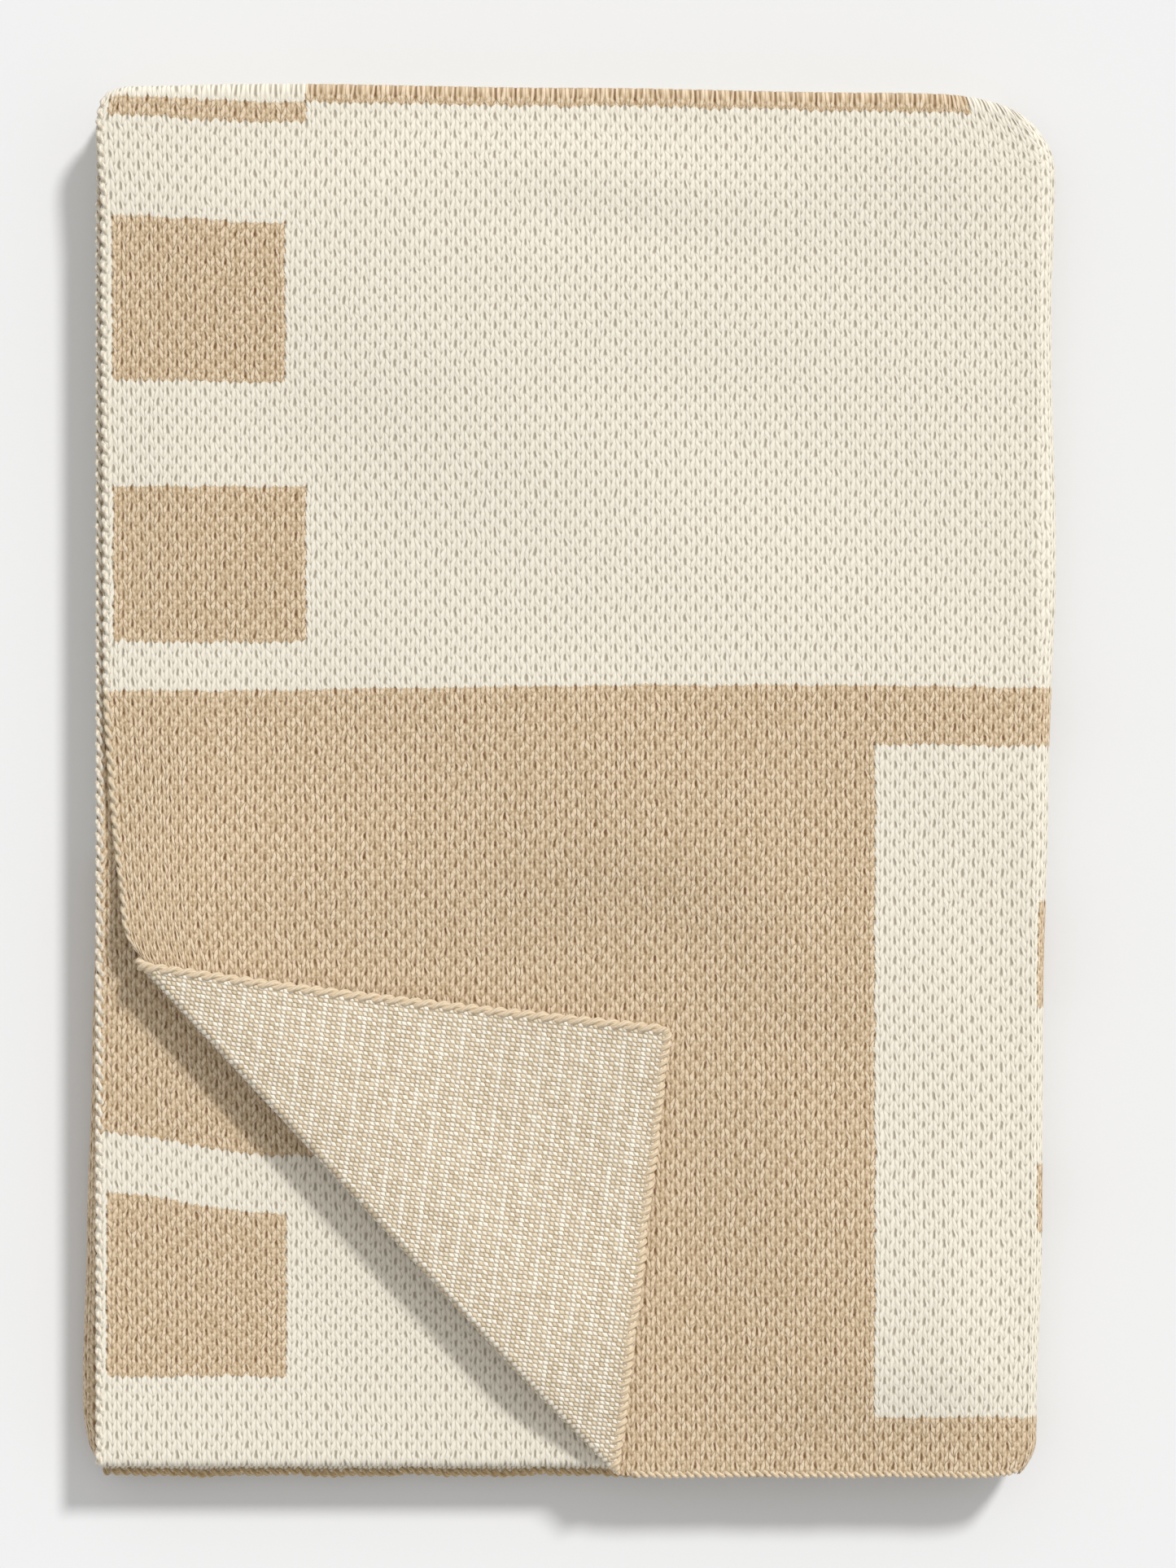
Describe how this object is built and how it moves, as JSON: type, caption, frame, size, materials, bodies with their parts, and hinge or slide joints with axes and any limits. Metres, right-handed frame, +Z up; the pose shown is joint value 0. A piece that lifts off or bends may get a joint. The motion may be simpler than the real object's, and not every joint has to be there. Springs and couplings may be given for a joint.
{
  "type": "folded throw blanket",
  "caption": "Knitted colour-block throw blanket folded into a flat rectangular stack with one corner turned back.",
  "frame": {"origin": "middle of the folded blanket's underside, on the surface that it lies on", "axes": "+Z up through the plies, +Y along the long side towards the top fold, +X towards the right fold"},
  "size_m": [0.432, 0.616, 0.05],
  "materials": {
    "knit_face": "matt two-colour jersey knit",
    "knit_reverse": "matt speckled knit back",
    "hem": "matt linked yarn",
    "selvedge": "matt chained yarn"
  },
  "bodies": {
    "base": {"base_outer_panel": "knit_face", "base_inner_panel": "knit_face", "base_upper_panel": "knit_face", "base_inner_hem": "hem", "base_upper_hem": "hem", "base_top_bend": "knit_face", "base_bottom_bend": "knit_face", "base_outer_selvedge": "selvedge", "base_inner_selvedge": "selvedge", "base_upper_selvedge": "selvedge", "left_fold_upper": "knit_face", "left_fold_inner": "knit_face", "left_fold_outer": "knit_face"},
    "middle": {"middle_outer_panel": "knit_face", "middle_inner_panel": "knit_face", "middle_upper_panel": "knit_face", "middle_inner_hem": "hem", "middle_upper_hem": "hem", "middle_top_bend": "knit_face", "middle_bottom_bend": "knit_face", "right_fold_outer": "knit_face", "right_fold_inner": "knit_face", "right_fold_upper": "knit_face"},
    "cover": {"cover_outer_panel": "knit_face", "cover_inner_panel": "knit_face", "cover_upper_panel": "knit_face", "cover_inner_hem": "hem", "cover_upper_hem": "hem", "cover_top_bend": "knit_face", "cover_bottom_bend": "knit_face", "cover_outer_selvedge": "selvedge", "cover_inner_selvedge": "selvedge", "cover_upper_selvedge": "selvedge", "corner_crease": "knit_face"},
    "corner": {"corner_panel": "knit_reverse", "corner_selvedge": "selvedge", "corner_hem": "hem"}
  },
  "joints": [
    {"name": "left_fold", "type": "hinge", "parent": "base", "child": "middle", "pos_m": [-0.2082, 0, 0.0106], "axis": [0, -1, 0], "range_deg": [0, 110], "deforming": ["left_fold_upper", "left_fold_inner", "left_fold_outer"]},
    {"name": "right_fold", "type": "hinge", "parent": "middle", "child": "cover", "pos_m": [0.2082, 0, 0.0214], "axis": [0, 1, 0], "range_deg": [0, 179.5], "deforming": ["right_fold_outer", "right_fold_inner", "right_fold_upper"]},
    {"name": "corner_turn", "type": "hinge", "parent": "cover", "child": "corner", "pos_m": [-0.2095, -0.054, 0.0394], "axis": [0.6806, -0.7326, 0], "range_deg": [0, 179.5], "deforming": ["corner_crease"]}
  ]
}
